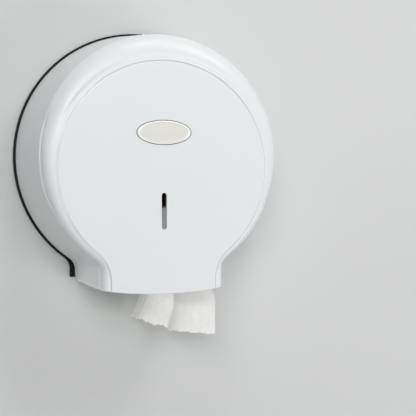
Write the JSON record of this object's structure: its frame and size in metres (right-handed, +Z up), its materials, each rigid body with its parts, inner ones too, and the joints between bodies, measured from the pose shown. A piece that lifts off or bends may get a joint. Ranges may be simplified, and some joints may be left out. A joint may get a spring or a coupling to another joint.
{
  "type": "jumbo toilet roll dispenser",
  "caption": "Round wall-mounted dispenser for a jumbo toilet roll, with a hinged locking cover, a sight slot and a toothed paper outlet below.",
  "frame": {"origin": "middle of the four wall holes on the back face, which is the wall plane, on the spindle's axis", "axes": "+X to the right as seen by a user, +Y into the wall, +Z up; the front faces -Y"},
  "size_m": [0.2768, 0.1175, 0.3344],
  "materials": {
    "cover_plastic": "satin gloss, moulded white",
    "badge_plastic": "satin, cream",
    "base_plastic": "fine matt texture, moulded black",
    "sleeve_plastic": "matt, natural white",
    "lock_metal": "plated die casting",
    "steel": "zinc plated",
    "cardboard": "uncoated, brown-grey",
    "paper": "soft tissue"
  },
  "bodies": {
    "base": {"back_plate": "base_plastic", "strike_bracket": "steel", "strike_screws": "steel", "hinge_pins": "steel", "spindle_post": "base_plastic", "spindle_screws": "steel", "thrust_washer": "sleeve_plastic", "spindle_cap": "base_plastic", "cap_screw": "steel", "paper_tail": "paper"},
    "cover": {"front_cover": "cover_plastic", "oval_badge": "badge_plastic", "lock_housing": "lock_metal", "lock_nut": "lock_metal"},
    "lock": {"lock_plug": "lock_metal", "lock_cam": "steel", "cam_screw": "steel"},
    "sleeve": {"core_sleeve": "sleeve_plastic"},
    "roll": {"roll_core": "cardboard", "paper_roll": "paper"}
  },
  "joints": [
    {"name": "cover_hinge", "type": "hinge", "parent": "base", "child": "cover", "pos_m": [0, -0.014, -0.12598], "axis": [1, 0, 0], "range_deg": [0, 80], "deforming": ["paper_tail"]},
    {"name": "lock_turn", "type": "hinge", "parent": "cover", "child": "lock", "pos_m": [0, -0.036, 0.12], "axis": [0, 0, -1], "range_deg": [0, 90]},
    {"name": "roll_spin", "type": "hinge", "parent": "base", "child": "roll", "pos_m": [0, -0.057, -0.0197], "axis": [0, 1, 0], "continuous": true},
    {"name": "sleeve_spin", "type": "hinge", "parent": "base", "child": "sleeve", "pos_m": [0, -0.057, 0], "axis": [0, 1, 0], "continuous": true}
  ]
}
